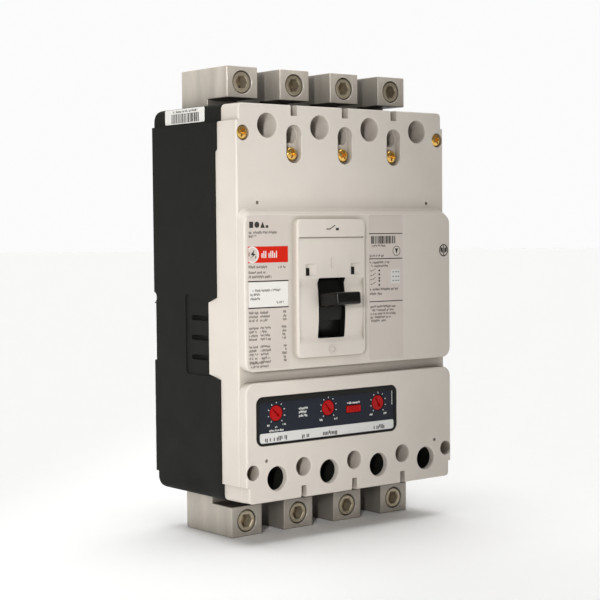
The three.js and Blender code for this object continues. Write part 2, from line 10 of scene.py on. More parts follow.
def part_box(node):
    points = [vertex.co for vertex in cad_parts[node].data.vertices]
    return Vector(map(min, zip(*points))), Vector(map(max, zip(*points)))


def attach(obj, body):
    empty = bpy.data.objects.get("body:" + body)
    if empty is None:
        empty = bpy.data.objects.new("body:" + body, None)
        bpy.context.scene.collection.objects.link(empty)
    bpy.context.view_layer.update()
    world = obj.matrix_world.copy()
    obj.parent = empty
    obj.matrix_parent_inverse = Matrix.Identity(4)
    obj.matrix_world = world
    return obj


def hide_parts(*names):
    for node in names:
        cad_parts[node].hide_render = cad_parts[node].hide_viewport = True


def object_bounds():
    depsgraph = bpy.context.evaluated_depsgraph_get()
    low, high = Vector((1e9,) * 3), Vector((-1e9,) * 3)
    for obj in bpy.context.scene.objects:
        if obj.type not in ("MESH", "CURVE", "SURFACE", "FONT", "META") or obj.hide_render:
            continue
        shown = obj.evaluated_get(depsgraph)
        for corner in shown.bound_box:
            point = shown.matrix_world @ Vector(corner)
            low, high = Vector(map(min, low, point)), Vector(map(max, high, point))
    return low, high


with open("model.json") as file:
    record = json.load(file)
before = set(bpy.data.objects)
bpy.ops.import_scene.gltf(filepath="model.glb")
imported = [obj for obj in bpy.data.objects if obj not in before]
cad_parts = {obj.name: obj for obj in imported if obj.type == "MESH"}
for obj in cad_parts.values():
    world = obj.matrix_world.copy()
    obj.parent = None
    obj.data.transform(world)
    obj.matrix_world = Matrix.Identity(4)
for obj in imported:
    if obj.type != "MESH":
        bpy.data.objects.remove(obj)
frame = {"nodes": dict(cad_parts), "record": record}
cad_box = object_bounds()
MM = 0.001
# Edges that bend more than this look sharp, and those that bend less than FLAT aren't there.
SHARP = math.radians(32)
FLAT = 0.001
# In metres: the distances within which points are joined and slivers are dissolved.
WELD = 4e-6
SLIVER = 2e-6


def span(node, axis):
    low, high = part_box(node)
    return low[axis] / MM, high[axis] / MM


def middle(node):
    low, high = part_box(node)
    return [(a + b) / 2 / MM for a, b in zip(low, high)]


def around(centre, half):
    return centre - half, centre + half


def narrowed(ends, low, high=None):
    """A span with `low` taken off its lower end and `high`, or as much again, off its upper end."""
    return ends[0] + low, ends[1] - (low if high is None else high)


# ---------- driving dimensions ----------
POLES = [middle(f"line_lug_{pole}")[0] for pole in (1, 2, 3, 4)]
BARRIERS = [(a + b) / 2 for a, b in zip(POLES, POLES[1:])]
MECHANISM_X = middle("toggle_handle")[0]
CASE_HALF = span("base", 0)[1]
COVER_HALF = span("front_cover", 0)[1]
END_Z = span("base", 2)[1]
STEP_Z = 117.2
STEP_INSET = 1.9
CASE_CORNER = 3.5
REAR_CORNER = (8.6, 11.6)
SEAM_GAP = 0.3
# Cutters and profiles end out here, past the sides and the front, or past the two ends of the case.
FAR = 120
FAR_Z = 130
# The parting line between base and cover, as (y, z) from the line end down.
SEAM = [
    (-77.5, FAR_Z), (-77.5, 117.2), (-75.5, 116.6), (-75.5, 99.5), (-73.6, 97.6), (-73.6, 3.5),
    (-64, 0.1), (-64, -46.6), (-77, -49.7), (-77, -FAR_Z),
]
INSIDE_X = (-87.5, 87.5)
GROOVE_TOP_Z = 121.2
GROOVE_BOTTOM_Z = -120.2
GROOVE_REAR = -6
TANG_GAP = 0.52
TANG_ROOM_Y = (-47.62, -16.48)
VENTS_Z = (-10.3, -23.3, -36.3)

COVER_Y = -96
PAD_Y = -103.1
PAD_HALF = 90.3
PAD_CORNER = 7
EDGE = 1.3
MIDDLE_PAD_Z = (-43.6, 61.6)
LOWER_PAD_TOP = -50.3
RAMP = 4.2

ESCUTCHEON_Y = span("front_cover", 1)[0]
ESCUTCHEON_X = around(MECHANISM_X, 29.4)
ESCUTCHEON_Z = (-36.5, 54)
ESCUTCHEON_CORNER = 4
ESCUTCHEON_EDGE = 1.6
BAND_Y = ESCUTCHEON_Y - 0.5
BAND_Z = 42.2
SADDLE_Z = (-27.2, 15.2)
SADDLE_END_Y = -105.3
SADDLE_RISE = 1.9
SADDLE_BLEND = 3.4
POCKETS = (MECHANISM_X - 22.3, MECHANISM_X + 16.2)
POCKET_WIDTH = 9
POCKET_DEPTH = 1.5
POCKET_Z = (17, 24.8)
WINDOW_HALF = 11.45
WINDOW_Z = (-24.2, 15.4)

ACCESS_RADIUS = 7.95
ACCESS_TOP_Z = 114.5
ACCESS_BOTTOM_Z = -113.4
MOUNT_TOP_Z = 109.2
MOUNT_BOTTOM_Z = -107.9
MOUNT_RADIUS = 4.2
CHANNEL_RADIUS = 6.15
REAR_RELIEF = -0.7
SLOT_HALF = 6.1
SLOT_Z = (90.6, 115.2)
SLOT_FLOOR = -91
SLOT_SCREW_Z = 96.6
CORNER_X = 85
CORNER_TOP_Z = 109.2
CORNER_BOTTOM_Z = -108
CORNER_HOLE_RADIUS = 4.9
DIMPLE_X = 74.2
DIMPLE_RADIUS = 1.15

TRIP_X = (-82.1, 38.6)
TRIP_Z = (-91.5, -59.8)
PLATE_Y = -102.6
FRAME_Y = PAD_Y - 0.1
LABEL_Y = PAD_Y - 0.12
DIALS = [middle(f"trip_dial_{number}") for number in (1, 2, 3)]
BUTTON = middle("trip_button")

LUG_HALF = 12.5
LUG_Y = span("line_lug_1", 1)
LUG_BLOCK = 20.6
TANG_Y = (-47, -41.3)
TANG_TIP = 103
TANG_ROOT = 121
CABLE_RADIUS = 9
CABLE_Y = -31
CLAMP_RADIUS = 7
CLAMP_LENGTH = 24
CLAMP_SINK = 0.4
THREAD_PITCH = 2

PIVOT = (-50, -4.4)
HANDLE_REST = math.radians(5.3)
HANDLE_TIP = 75.4
HANDLE_HALF = 10.4
SKIRT_RADIUS = (53, 55.2)

# The tint of the painted shade that darkens a tone near other surfaces, then the scale of the drift
# in tone, the share of fine grain in it and the share by which the roughness drifts.
WARM_SHADE = (1, 0.94, 0.85)
DRIFT_SCALE = 40
GRAIN_SHARE = 0.4
GLOSS_DRIFT = 0.15

# The sky's strength at its dimmest and brightest, the direction of its bright side, and the plain
# strength that the camera sees behind the object.
SKY = (0.1, 1.1)
GLOW_SIDE = (0.62, 0.78, 0)
BACKDROP = 0.97
OVERHEAD_POWER = 2.05
OVERHEAD_SPREAD = math.radians(50)
# The key light is a narrow spot, squeezed so that its light falls off across the cover. Its places
# and its size are in metres, and so is the floor's radius.
KEY_POWER = 230
KEY_PLACE = (-1.28, -1.09, 0.24)
KEY_AIM = (-0.17, -0.1, 0.02)
KEY_CONE = math.radians(26)
KEY_SQUEEZE = 0.2
KEY_SIZE = 0.15
FLOOR_RADIUS = 14

CAMERA_AZIMUTH = math.radians(-38.61)
CAMERA_ELEVATION = math.radians(2.66)
CAMERA_ROLL = math.radians(-0.52)
CAMERA_PLACE = (-658.57, -870.61, 47.04)
CAMERA_LENS = 90.62
SENSOR_WIDTH = 36


# ---------- finishes ----------
def tone(*rgb):
    """8-bit display colour to the linear colour that a shader takes."""
    return [(c / 255 / 12.92 if c <= 10 else ((c / 255 + 0.055) / 1.055) ** 2.4) for c in rgb] + [1]


def finish(
    name, colour, roughness, metallic=0.0, *, grain, bump, shift, stretch=(1, 1, 1),
    specular=0.5, painted_shade=0, reach=0,
):
    """A procedural surface: drifting tone, uneven roughness and a shallow grain of `bump` millimetres.

    Painted shade: where other surfaces stand within `reach` millimetres, the tone darkens by the
    given share, as shade falls in holes, grooves and between parts.
    """
    material = bpy.data.materials.new(name)
    material.use_nodes = True
    nodes, links = material.node_tree.nodes, material.node_tree.links
    shader = nodes["Principled BSDF"]
    shader.inputs["Metallic"].default_value = metallic
    shader.inputs["Specular IOR Level"].default_value = specular
    place = nodes.new("ShaderNodeTexCoord")
    scale = nodes.new("ShaderNodeMapping")
    scale.inputs["Scale"].default_value = stretch
    links.new(place.outputs["Object"], scale.inputs["Vector"])

    def noise(size, detail):
        node = nodes.new("ShaderNodeTexNoise")
        node.inputs["Scale"].default_value = size
        node.inputs["Detail"].default_value = detail
        links.new(scale.outputs["Vector"], node.inputs["Vector"])
        return node.outputs["Fac"]

    drift, fine = noise(DRIFT_SCALE, 5), noise(grain, 3)
    blend = nodes.new("ShaderNodeMath")
    blend.operation = "MULTIPLY_ADD"
    blend.inputs[1].default_value = GRAIN_SHARE
    links.new(fine, blend.inputs[0])
    links.new(drift, blend.inputs[2])
    ramp = nodes.new("ShaderNodeValToRGB")
    base = tone(*colour)
    for element, position, factor in zip(ramp.color_ramp.elements, (0.5, 0.9), (1 - shift, 1 + shift)):
        element.position = position
        element.color = [min(c * factor, 1) for c in base[:3]] + [1]
    links.new(blend.outputs["Value"], ramp.inputs["Fac"])
    tint = ramp.outputs["Color"]
    # Painted shade: an ambient-occlusion node darkens the base colour towards a warm dark tone near other
    # surfaces.
    if painted_shade:
        recess = nodes.new("ShaderNodeAmbientOcclusion")
        recess.samples = 8
        recess.inputs["Distance"].default_value = reach * MM
        darken = nodes.new("ShaderNodeMix")
        darken.data_type = "RGBA"
        shade = [c * (1 - painted_shade) * warm for c, warm in zip(base, WARM_SHADE)]
        darken.inputs["A"].default_value = shade + [1]
        links.new(recess.outputs["AO"], darken.inputs["Factor"])
        links.new(tint, darken.inputs["B"])
        tint = darken.outputs["Result"]
    links.new(tint, shader.inputs["Base Color"])
    uneven = nodes.new("ShaderNodeMapRange")
    uneven.inputs["From Min"].default_value = 0.3
    uneven.inputs["From Max"].default_value = 0.7
    uneven.inputs["To Min"].default_value = roughness * (1 - GLOSS_DRIFT)
    uneven.inputs["To Max"].default_value = min(roughness * (1 + GLOSS_DRIFT), 1)
    links.new(drift, uneven.inputs["Value"])
    links.new(uneven.outputs["Result"], shader.inputs["Roughness"])
    relief = nodes.new("ShaderNodeBump")
    relief.inputs["Strength"].default_value = 1
    relief.inputs["Distance"].default_value = bump * MM
    links.new(fine, relief.inputs["Height"])
    links.new(relief.outputs["Normal"], shader.inputs["Normal"])
    return material


SLOT_FINISH = {
    slot: finish(slot, colour, roughness, **look)
    for slot, colour, roughness, look in (
        ("base_plastic", (27, 28, 24), 0.62, dict(grain=900, bump=0.03, shift=0.12, specular=0.15)),
        # The cover plastic carries painted shade in its holes, grooves, pockets and beside its raised
        # parts.
        ("cover_plastic", (216, 208, 198), 0.5,
         dict(grain=1100, bump=0.02, shift=0.02, specular=0.3, painted_shade=0.62, reach=11)),
        ("brass_screw", (240, 196, 108), 0.24, dict(metallic=0.85, grain=900, bump=0.015, shift=0.1)),
        ("copper", (184, 120, 80), 0.35,
         dict(metallic=1.0, grain=700, bump=0.02, shift=0.15, stretch=(4, 1, 1))),
        ("fibre", (180, 160, 120), 0.8, dict(grain=600, bump=0.05, shift=0.12, stretch=(1, 1, 5))),
        # The lug metal carries painted shade between the lugs, under them and in their bores.
        ("lug_metal", (216, 207, 194), 0.36,
         dict(metallic=0.25, grain=420, bump=0.035, shift=0.1, stretch=(1, 3, 0.3),
              painted_shade=0.95, reach=32)),
        ("black_plastic", (19, 19, 17), 0.3, dict(grain=1200, bump=0.015, shift=0.12, specular=0.2)),
        ("faceplate_plastic", (34, 38, 47), 0.42,
         dict(grain=1500, bump=0.008, shift=0.08, specular=0.15)),
        ("steel", (150, 150, 146), 0.4,
         dict(metallic=1.0, grain=800, bump=0.01, shift=0.12, stretch=(1, 1, 6))),
        ("red_plastic", (172, 3, 4), 0.35, dict(grain=1200, bump=0.008, shift=0.08, specular=0.2)),
    )
}
# The clamp screws' own warmer plated tone, made darker than the lug metal as painted shade for their deep
# hex sockets.
SHADE_DARKENED_CLAMP_METAL = finish("clamp_screw_shade_darkened_metal", (172, 160, 138), 0.32, 0.6, grain=500, bump=0.015, shift=0.15)
SILVER = finish("label_silver", (210, 200, 191), 0.5, 0.1, grain=2400, bump=0.004, shift=0.03)
PAPER = finish("label_paper", (229, 227, 221), 0.6, grain=2400, bump=0.004, shift=0.015)
STRIP = finish("label_strip", (216, 215, 211), 0.5, grain=2400, bump=0.004, shift=0.015)
INK = finish("label_ink", (46, 42, 38), 0.6, grain=2400, bump=0.003, shift=0.15)
FAINT_INK = finish("label_faint_ink", (96, 90, 82), 0.6, grain=2400, bump=0.003, shift=0.1)
PALE_INK = finish("label_pale_ink", (232, 232, 228), 0.55, grain=2400, bump=0.003, shift=0.03)
RED_INK = finish("label_red_ink", (208, 30, 6), 0.45, grain=2400, bump=0.003, shift=0.05, specular=0.2)


# ---------- outlines ----------
def arc(u, v, radius, start, end, steps):
    angles = [math.radians(start + (end - start) * k / steps) for k in range(steps + 1)]
    return [(u + radius * math.cos(a), v + radius * math.sin(a)) for a in angles]


def circle(u, v, radius, sides=48):
    """A round outline whose size grows by `grow`."""
    return lambda grow=0: arc(u, v, radius + grow, 0, 360 * (1 - 1 / sides), sides - 1)


def rectangle(u, v, radius, steps=5):
    """A rounded rectangle over the spans u and v, grown by `grow` on every side."""
    def outline(grow=0):
        r = max(radius + grow, 0.05)
        (u0, u1), (v0, v1) = (u[0] - grow + r, u[1] + grow - r), (v[0] - grow + r, v[1] + grow - r)
        corners = ((u1, v1, 0), (u0, v1, 90), (u0, v0, 180), (u1, v0, 270))
        return [p for cu, cv, start in corners for p in arc(cu, cv, r, start, start + 90, steps)]
    return outline


def shell_outline(half, bottom, top, low_radius, high_radius):
    """The case outline in X and Z, narrower past the step near each end."""
    def outline(grow=0):
        halves = []
        for end, radius, side in ((top + grow, high_radius, 1), (-bottom + grow, low_radius, -1)):
            wide = half + grow
            stepped = end > STEP_Z
            narrow = wide - STEP_INSET if stepped else wide
            r = max(radius + grow, 0.4)
            edge = arc(narrow - r, end - r, r, 0, 90, 6)
            if stepped:
                edge = [(wide, STEP_Z), (narrow, STEP_Z)] + edge
            end_points = edge + [(-x, z) for x, z in reversed(edge)]
            halves += end_points if side > 0 else [(-x, -z) for x, z in end_points]
        return halves
    return outline


def rotated(points, angle, x, z):
    """The points turned about the origin and then moved to (x, z)."""
    c, s = math.cos(angle), math.sin(angle)
    return [(x + u * c - v * s, z + u * s + v * c) for u, v in points]


# ---------- solids ----------
def placed(name, data):
    """A new object in the scene with this data."""
    piece = bpy.data.objects.new(name, data)
    bpy.context.scene.collection.objects.link(piece)
    return piece


def closed(name, points, faces):
    """A piece from points in millimetres, with its faces turned outward."""
    mesh = bpy.data.meshes.new(name)
    mesh.from_pydata([Vector(point) * MM for point in points], [], faces)
    form = bmesh.new()
    form.from_mesh(mesh)
    bmesh.ops.recalc_face_normals(form, faces=form.faces)
    form.to_mesh(mesh)
    form.free()
    return placed(name, mesh)


def solid(name, loops):
    """A closed solid through loops of equally many points."""
    count = len(loops[0])
    points = [point for loop in loops for point in loop]
    faces = [tuple(range(count)), tuple(range(len(points) - count, len(points)))]
    for start in range(0, len(points) - count, count):
        for k in range(count):
            after = (k + 1) % count
            faces.append((start + k, start + after, start + count + after, start + count + k))
    return closed(name, points, faces)


def stack(name, outline, levels):
    """An X-Z outline carried along Y; levels are (y, grow)."""
    return solid(name, [[(x, y, z) for x, z in outline(grow)] for y, grow in levels])


def slab(name, points, y):
    """An X-Z outline between two Y places."""
    return solid(name, [[(u, place, v) for u, v in points] for place in y])


def prism(name, points, x):
    """A Y-Z outline between two X places."""
    return solid(name, [[(side, y, z) for y, z in points] for side in x])


def block(name, x, y, z):
    return prism(name, [(y[0], z[0]), (y[1], z[0]), (y[1], z[1]), (y[0], z[1])], x)


def quarter_bend(radius, steps):
    """How far a rounded edge still is from the front face and from its side, along a quarter turn."""
    angles = [math.pi / 2 * k / steps for k in range(steps + 1)]
    return [(radius * (1 - math.sin(a)), radius * (1 - math.cos(a))) for a in angles]


def rounded_front(back, front, radius, steps=5):
    """Levels from a square back to a front edge of that radius."""
    return [(back, 0)] + [(front + away, -inset) for away, inset in quarter_bend(radius, steps)]


def flared(deep, mouth, rim=0.6, steps=4):
    """Levels of a hole's cutter that rounds the rim where the hole meets the surface at Y `mouth`."""
    rims = [(mouth + away, outset) for away, outset in quarter_bend(rim, steps)]
    return [(deep, 0)] + rims + [(mouth - 20, rim)]


def turned(name, profile, x, z, sides=48):
    """A solid of revolution about Y; the profile holds (radius, y)."""
    return solid(name, [[(u, y, v) for u, v in circle(x, z, radius, sides)()] for radius, y in profile])


def combine(target, tools, operation="DIFFERENCE"):
    for tool in tools:
        step = target.modifiers.new("combine", "BOOLEAN")
        step.operation = operation
        step.solver = "MANIFOLD"
        step.object = tool
    graph = bpy.context.evaluated_depsgraph_get()
    mesh = bpy.data.meshes.new_from_object(target.evaluated_get(graph))
    target.modifiers.clear()
    target.data = mesh
    for tool in tools:
        bpy.data.objects.remove(tool)
    return target


def bevelled(piece, width):
    step = piece.modifiers.new("edges", "BEVEL")
    step.width = width * MM
    step.segments = 3
    step.limit_method = "ANGLE"
    return combine(piece, [])


def sleeve(name, x, z, radii, depths):
    """A plain tube along Y, with its inner and outer radius."""
    tube = stack(name, circle(x, z, radii[1]), [(y, 0) for y in depths])
    return combine(tube, [stack("bore", circle(x, z, radii[0]), [(-20, 0), (-FAR, 0)])])


def welded(node):
    """A copy of a CAD node's mesh with its split vertices joined."""
    mesh = frame["nodes"][node].data.copy()
    form = bmesh.new()
    form.from_mesh(mesh)
    bmesh.ops.remove_doubles(form, verts=form.verts, dist=1e-6)
    form.to_mesh(mesh)
    form.free()
    return placed(f"{node}_copy", mesh)


def hollows(node, *rooms):
    """The free space that a CAD node leaves within each room, to cut it from a finer shell too."""
    return [combine(block("hollow", *room), [welded(node)]) for room in rooms]


def moved(piece, name, offset):
    """A copy of a piece with the offset in its mesh."""
    mesh = piece.data.copy()
    mesh.name = name
    mesh.transform(Matrix.Translation(Vector(offset) * MM))
    return placed(name, mesh)


def bends_less(edge, angle):
    return len(edge.link_faces) == 2 and edge.calc_face_angle(0) < angle


def smooth(mesh, joined):
    """Smooth shading up to the sharp edges, after a joined mesh has lost its booleans' slivers."""
    form = bmesh.new()
    form.from_mesh(mesh)
    if joined:
        bmesh.ops.remove_doubles(form, verts=form.verts, dist=WELD)
        bmesh.ops.dissolve_degenerate(form, edges=form.edges, dist=SLIVER)
        level = [edge for edge in form.edges if bends_less(edge, FLAT)]
        bmesh.ops.dissolve_edges(form, edges=level, use_verts=False)
    form.normal_update()
    for face in form.faces:
        face.smooth = True
    for edge in form.edges:
        edge.smooth = bends_less(edge, SHARP)
    form.to_mesh(mesh)
    form.free()


def dress(piece, material, body, slot=None, nodes=()):
    """Shades a piece with its material and puts it on a body, in place of CAD nodes if it stands for any.

    A piece given a slot first loses its booleans' slivers.
    """
    piece.data.materials.clear()
    piece.data.materials.append(material)
    smooth(piece.data, slot is not None)
    shading = piece.modifiers.new("shading", "WEIGHTED_NORMAL")
    shading.keep_sharp = True
    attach(piece, body)
    if nodes:
        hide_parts(*nodes)
    return piece


def mould(piece, slot, body="root", nodes=()):
    return dress(piece, SLOT_FINISH[slot], body, slot, nodes)


# ---------- base ----------
def end_notches(name, wide, narrow):
    """Grooves in both ends of the case that take phase barriers."""
    past_end = 140
    depths = (-FAR, GROOVE_REAR)
    cutters = []
    for x in BARRIERS:
        mouth, floor = around(x, wide / 2), around(x, narrow / 2)
        top = rectangle(mouth, (GROOVE_TOP_Z, past_end), 0.5)
        cutters.append(stack(name, top, [(y, 0) for y in depths]))
        bottom = [(u, -past_end) for u in mouth] + [(u, GROOVE_BOTTOM_Z) for u in reversed(floor)]
        cutters.append(slab(name, bottom, depths))
    return cutters


def base_profile():
    """The outline of the base in Y and Z, from the seam round its rounded rear corners."""
    depth, height = REAR_CORNER
    rear = [(y + SEAM_GAP / 2, z) for y, z in SEAM]
    bend = END_Z - height
    for side, angles in ((-1, range(90, -1, -15)), (1, range(0, 91, 15))):
        for angle in angles:
            a = math.radians(angle)
            rear.append((-depth + depth * math.cos(a), side * (bend + height * math.sin(a))))
    return rear


def side_cutters(side):
    """The vent panel, the vents and the rear notch of one side wall."""
    def reach(inner):
        return sorted((side * inner, side * 95))

    panel = [(-70, 1.2), (-40.5, 5), (-38.5, 3.5), (-38.5, -45.5), (-40.5, -48), (-70, -48)]
    cutters = [prism("vent_panel", panel, reach(CASE_HALF - 0.8))]
    for z in VENTS_Z:
        cutters.append(prism("vent", rectangle((-72, -44.2), around(z, 1.65), 1.3)(), reach(87)))
    cutters.append(prism("rear_notch", circle(0, 1.8, 3.9, 32)(), reach(84)))
    cutters.append(block("rear_recess", reach(84), (-3.1, 1), (-41, -2.1)))
    return cutters


def build_base():
    outline = shell_outline(CASE_HALF, -END_Z, END_Z, CASE_CORNER, CASE_CORNER)
    shell = stack("base_shell", outline, [(-90, 0), (-1.1, 0), (-0.3, -0.35), (0, -1.1)])
    combine(shell, [prism("profile", base_profile(), (-FAR, FAR))], "INTERSECT")
    cutters = hollows("base", (INSIDE_X, (-90, -3), (-120.4, 120.9)))
    relief_levels = [(REAR_RELIEF, 0), (REAR_RELIEF + 0.2, 0.25), (2, 0.6)]
    for x in POLES:
        for z in ((119, 135), (-135, -119)):
            cutters.append(block("tang_opening", around(x, LUG_HALF + TANG_GAP), TANG_ROOM_Y, z))
        for z in (ACCESS_TOP_Z, ACCESS_BOTTOM_Z):
            cutters.append(stack("access", circle(x, z, ACCESS_RADIUS), [(-90, 0), (-48, 0)]))
        cutters.append(stack("rear_relief", rectangle(around(x, 15.5), (-92, 92), 3), relief_levels))
    hole_levels = [(-4.5, 0), (-0.8, 0), (0, 0.8), (1, 1.8)]
    for x in BARRIERS:
        for z in (MOUNT_TOP_Z, MOUNT_BOTTOM_Z):
            cutters.append(stack("mounting_hole", circle(x, z, MOUNT_RADIUS), hole_levels))
    for side in (-1, 1):
        cutters += side_cutters(side)
    combine(shell, cutters + end_notches("groove", 5, 4.6))
    mould(shell, "base_plastic", nodes=["base"])
    for pole, x in enumerate(POLES, 1):
        tube = sleeve(f"load_access_sleeve_{pole}", x, ACCESS_BOTTOM_Z, (8.1, 9.5), (-78, -98.7))
        mould(tube, "base_plastic")


# ---------- front cover ----------
def build_middle_pad():
    """The raised middle of the cover, whose top slopes softly down to the upper face."""
    rise = COVER_Y - PAD_Y - EDGE
    steps = 8
    slope = [k / steps for k in range(steps + 1)]
    levels = [(-93, 0, 0)] + [(COVER_Y + 0.02 - rise * t * t * (3 - 2 * t), 0, t) for t in slope]
    levels += [(y, grow, 1) for y, grow in rounded_front(-101.2, PAD_Y, EDGE)[2:]]
    loops = []
    for y, grow, t in levels:
        outline = rectangle(around(0, PAD_HALF), narrowed(MIDDLE_PAD_Z, 0, RAMP * t), PAD_CORNER, 8)
        loops.append([(x, y, z) for x, z in outline(grow)])
    return solid("middle_pad", loops)


def saddle(back):
    """The space in front of the curved strip beside the handle; `back` moves its floor to the rear."""
    steps = 24
    low, high = SADDLE_Z
    half, centre = (high - low) / 2, (high + low) / 2
    radius = (half * half + SADDLE_RISE * SADDLE_RISE) / (2 * SADDLE_RISE)
    floor = []
    for k in range(steps + 1):
        z = centre + half * (1 - 2 * k / steps)
        rise = math.sqrt(radius * radius - (z - centre) ** 2) - (radius - SADDLE_RISE)
        blend = min((half - abs(z - centre)) / SADDLE_BLEND, 1)
        y = ESCUTCHEON_Y + (SADDLE_END_Y - rise - ESCUTCHEON_Y) * blend * blend * (3 - 2 * blend)
        floor.append((y + back, z))
    return [(-FAR, high)] + floor + [(-FAR, low)]


def build_escutcheon():
    """The plate round the handle, with its raised band, saddle, band line and two pockets."""
    back = -101
    outline = rectangle(ESCUTCHEON_X, ESCUTCHEON_Z, ESCUTCHEON_CORNER, 8)
    plate = stack("escutcheon", outline, rounded_front(back, ESCUTCHEON_Y, ESCUTCHEON_EDGE))
    band = stack("band", outline, rounded_front(back, BAND_Y, ESCUTCHEON_EDGE))
    wide = narrowed(ESCUTCHEON_X, -5)
    combine(band, [block("above_line", wide, (-FAR, -95), (BAND_Z, 60))], "INTERSECT")
    combine(plate, [band], "UNION")
    inside = narrowed(ESCUTCHEON_X, 2.2)
    cutters = [
        block("band_line", inside, (-FAR, ESCUTCHEON_Y + 0.9), (BAND_Z - 0.8, BAND_Z + 0.05)),
        prism("saddle", saddle(0), inside),
    ]
    for x in POCKETS:
        right = x + POCKET_WIDTH
        floor = [(x, ESCUTCHEON_Y + POCKET_DEPTH), (right, ESCUTCHEON_Y + 0.05)]
        corners = floor + [(right, -FAR), (x, -FAR)]
        cutters.append(solid("pocket", [[(u, y, z) for u, y in corners] for z in POCKET_Z]))
    return combine(plate, cutters)


def build_pocket_marks():
    """The small dark ribbed windows in the two pockets beside the handle."""
    front, low = -106.9, POCKET_Z[0]
    for number, x in enumerate(POCKETS, 1):
        outline = rectangle((x + 0.2, x + 3.5), (low + 0.3, low + 5.2), 0.4)
        rib = stack(f"pocket_window_{number}", outline, [(front + 1.3, 0), (front, 0)])
        grooves = [
            block("groove", (x + 0.8, x + 2.9), (-110, front + 0.3), (z, z + 0.6))
            for z in (low + 1.2, low + 2.6, low + 4)
        ]
        mould(combine(rib, grooves), "black_plastic")


def build_cover():
    outline = shell_outline(COVER_HALF, -END_Z, END_Z, CASE_CORNER, CASE_CORNER)
    front = [(y, grow - 0.35) for y, grow in rounded_front(-90, COVER_Y, EDGE)[1:]]
    cover = stack("cover_shell", outline, [(-55, 0)] + front)
    seam = [(y - SEAM_GAP / 2, z) for y, z in SEAM] + [(-FAR_Z, -FAR_Z), (-FAR_Z, FAR_Z)]
    combine(cover, [prism("profile", seam, (-FAR, FAR))], "INTERSECT")
    low_end = END_Z - 0.4
    lower = shell_outline(PAD_HALF, -low_end, LOWER_PAD_TOP, CASE_CORNER, PAD_CORNER)
    lower_pad = stack("lower_pad", lower, rounded_front(-92.5, PAD_Y, EDGE))
    combine(cover, [build_middle_pad(), lower_pad, build_escutcheon()], "UNION")

    cutters = hollows(
        "front_cover",
        (INSIDE_X, (-94.5, -50), (-120.2, 121)),
        (INSIDE_X, (-101.6, -92), (-41.6, 57.2)),
        (INSIDE_X, (-101.6, -92), (-99, -52.3)),
        (around(MECHANISM_X, 27.5), (-105.2, -99), (-35, 52.4)),
    )

    def drill(name, x, z, radius, deep, mouth, rim=0.6, sides=48):
        cutters.append(stack(name, circle(x, z, radius, sides), flared(deep, mouth, rim)))

    for x in POLES:
        drill("access", x, ACCESS_TOP_Z, ACCESS_RADIUS, -50, COVER_Y)
        drill("access", x, ACCESS_BOTTOM_Z, ACCESS_RADIUS, -98, PAD_Y)
        cutters.append(stack("sleeve_room", circle(x, ACCESS_BOTTOM_Z, 9.6), [(-50, 0), (-98.9, 0)]))
    for x in BARRIERS:
        slot = rectangle(around(x, SLOT_HALF), SLOT_Z, SLOT_HALF, 12)
        cutters.append(stack("slot", slot, flared(SLOT_FLOOR, COVER_Y)))
        drill("channel", x, MOUNT_TOP_Z, CHANNEL_RADIUS - 0.2, -50, SLOT_FLOOR, 0.4)
        drill("channel", x, MOUNT_BOTTOM_Z, CHANNEL_RADIUS, -50, PAD_Y)
    for x in (-CORNER_X, CORNER_X):
        drill("screw_hole", x, CORNER_TOP_Z, CORNER_HOLE_RADIUS, -92, COVER_Y, 0.4)
        drill("screw_hole", x, CORNER_BOTTOM_Z, CORNER_HOLE_RADIUS, -88, PAD_Y, 0.4)
    for x in (-DIMPLE_X, DIMPLE_X):
        drill("dimple", x, 64.7, DIMPLE_RADIUS, COVER_Y + 2.5, COVER_Y, 0.15, 24)
        drill("dimple", x, -101.2, DIMPLE_RADIUS, PAD_Y + 2.5, PAD_Y, 0.15, 24)
    window = rectangle(around(MECHANISM_X, WINDOW_HALF), WINDOW_Z, 1)
    cutters.append(stack("window", window, [(-99, 0), (-FAR, 0)]))
    cutters.append(stack("trip_window", rectangle(TRIP_X, TRIP_Z, 5, 8), flared(-99, PAD_Y, 0.4)))
    combine(cover, cutters + end_notches("groove", 5.4, 4))
    add_cover_sleeves(cover)
    mould(cover, "cover_plastic", nodes=["front_cover"])


def add_cover_sleeves(cover):
    """The tubes round the line-end holes, and the seats and half collars of the slot screws."""
    tubes = [sleeve("line_sleeve", x, ACCESS_TOP_Z, (ACCESS_RADIUS, 9.4), (-76, -93.6)) for x in POLES]
    seats = [sleeve("screw_seat", x, SLOT_SCREW_Z, (4.62, 7.4), (-87, -90.7)) for x in BARRIERS]
    collars = [sleeve("slot_collar", x, SLOT_SCREW_Z, (SLOT_HALF, 7.6), (-90, -94)) for x in BARRIERS]
    for collar in collars:
        combine(collar, [block("above", (-FAR, FAR), (-FAR, -80), (SLOT_SCREW_Z, FAR_Z))])
    for parts in (tubes, seats, collars):
        combine(cover, parts, "UNION")


def build_cover_marks():
    """The raised stroke and ring for ON and OFF, and the pocket windows."""
    stroke = rectangle(around(MECHANISM_X, 0.7), (22, 28.5), 0.3)()
    mould(flat("on_mark", [stroke], ESCUTCHEON_Y, 0.35), "cover_plastic")
    build_pocket_marks()
    ring_z = -31.6
    levels = [(ESCUTCHEON_Y + 0.3, 0), (ESCUTCHEON_Y - 0.35, -0.15)]
    ring = stack("off_mark", circle(MECHANISM_X, ring_z, 2.9), levels)
    combine(ring, [stack("ring_hole", circle(MECHANISM_X, ring_z, 2), [(-100, 0), (-FAR, 0)])])
    mould(ring, "cover_plastic")


